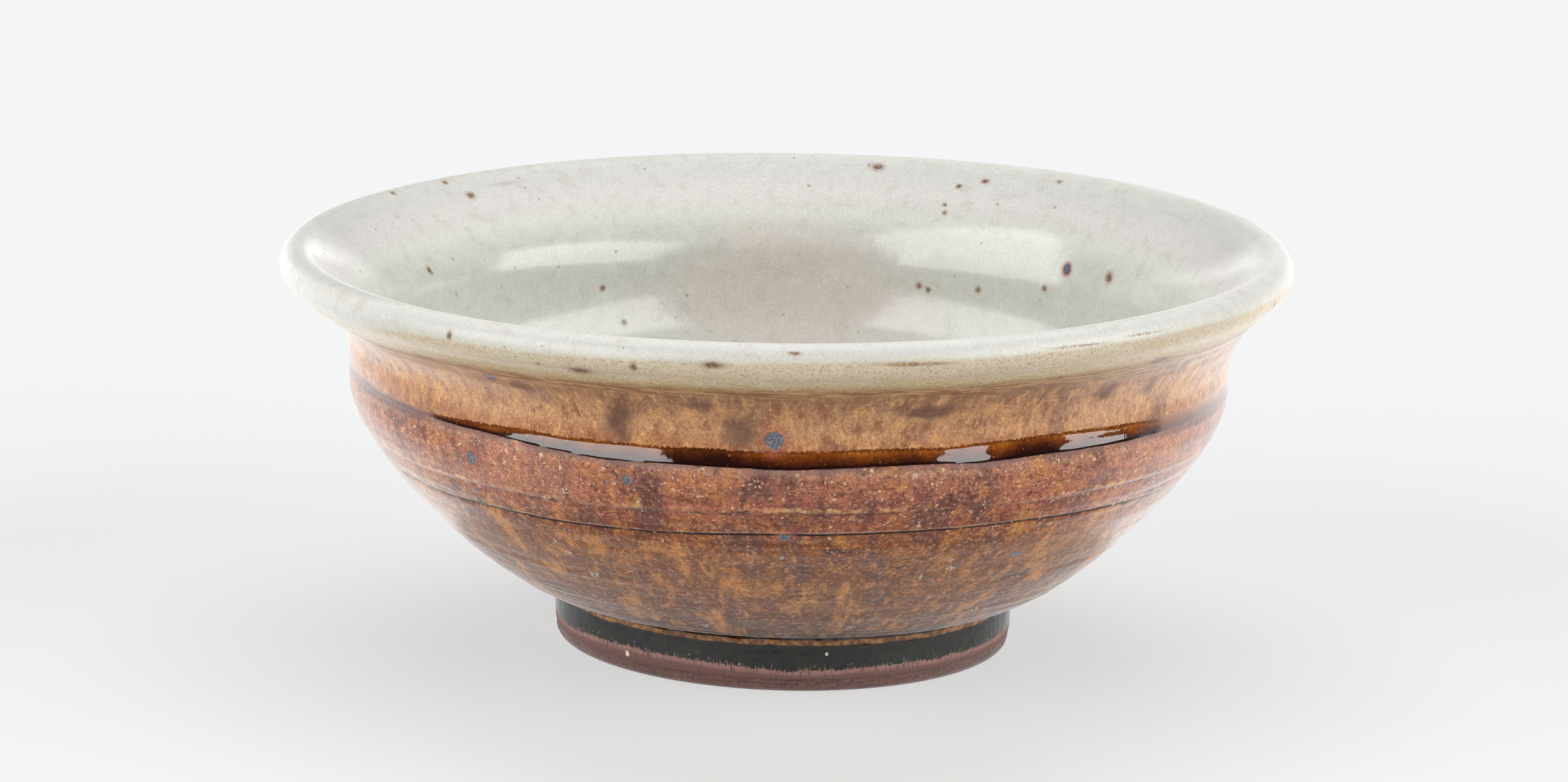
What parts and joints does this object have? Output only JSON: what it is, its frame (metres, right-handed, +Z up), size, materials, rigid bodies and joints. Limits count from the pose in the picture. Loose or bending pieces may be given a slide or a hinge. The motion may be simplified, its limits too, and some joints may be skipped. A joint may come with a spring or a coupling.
{
  "type": "stoneware bowl",
  "caption": "Round footed bowl with a deep curved wall, a flared rolled lip, a glaze-filled groove round its shoulder and a low turned foot ring, for serving food or tea.",
  "frame": {"origin": "centre of the foot ring's standing face", "axes": "+Z up along the pot's axis of revolution, X and Y in the plane it stands on, -Y towards the picture's camera"},
  "size_m": [0.15, 0.15, 0.06],
  "materials": {
    "fired_clay": "bare fired clay, matt, red-brown",
    "pale_glaze": "glossy pale grey glaze with iron specks",
    "amber_glaze": "glossy amber-brown glaze with smudges",
    "pooled_glaze": "very glossy dark amber glass",
    "rust_glaze": "satin rust, amber and grey-purple mottled glaze",
    "black_glaze": "glossy black-green glaze"
  },
  "bodies": {
    "root": {"stoneware_body": "fired_clay", "liner_glaze": "pale_glaze", "neck_glaze": "amber_glaze", "shoulder_glaze_pool": "pooled_glaze", "wall_glaze": "rust_glaze", "foot_glaze": "black_glaze"}
  },
  "joints": []
}
